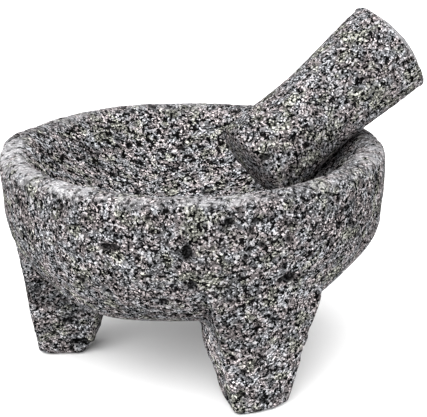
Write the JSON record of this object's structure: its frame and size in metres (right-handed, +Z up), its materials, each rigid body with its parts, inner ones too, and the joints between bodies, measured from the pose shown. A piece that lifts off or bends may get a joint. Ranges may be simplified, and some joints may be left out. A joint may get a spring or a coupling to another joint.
{
  "type": "molcajete",
  "caption": "Carved granite mortar bowl on tapered legs with a short stone pestle leaning in it, for grinding spices and salsas.",
  "frame": {"origin": "centre of the bounding box of the mortar with its pestle leaning in it, on the ground under the feet", "axes": "+Z up; +X is the way the pestle leans, seen from above; the front leg points almost along -Y; the bowl's axis is vertical at x = -0.0112 m, y = 0"},
  "size_m": [0.2208, 0.1986, 0.181],
  "materials": {
    "granite": "rough speckled grey granite, pecked and unpolished",
    "pestle_granite": "rough speckled grey granite, slightly lighter"
  },
  "bodies": {
    "mortar": {"mortar": "granite"},
    "pestle": {"pestle": "pestle_granite"}
  },
  "joints": [
    {"name": "pestle_lift", "type": "slide", "parent": "mortar", "child": "pestle", "axis": [0, 0, 1], "range_m": [0, 0.12]}
  ]
}
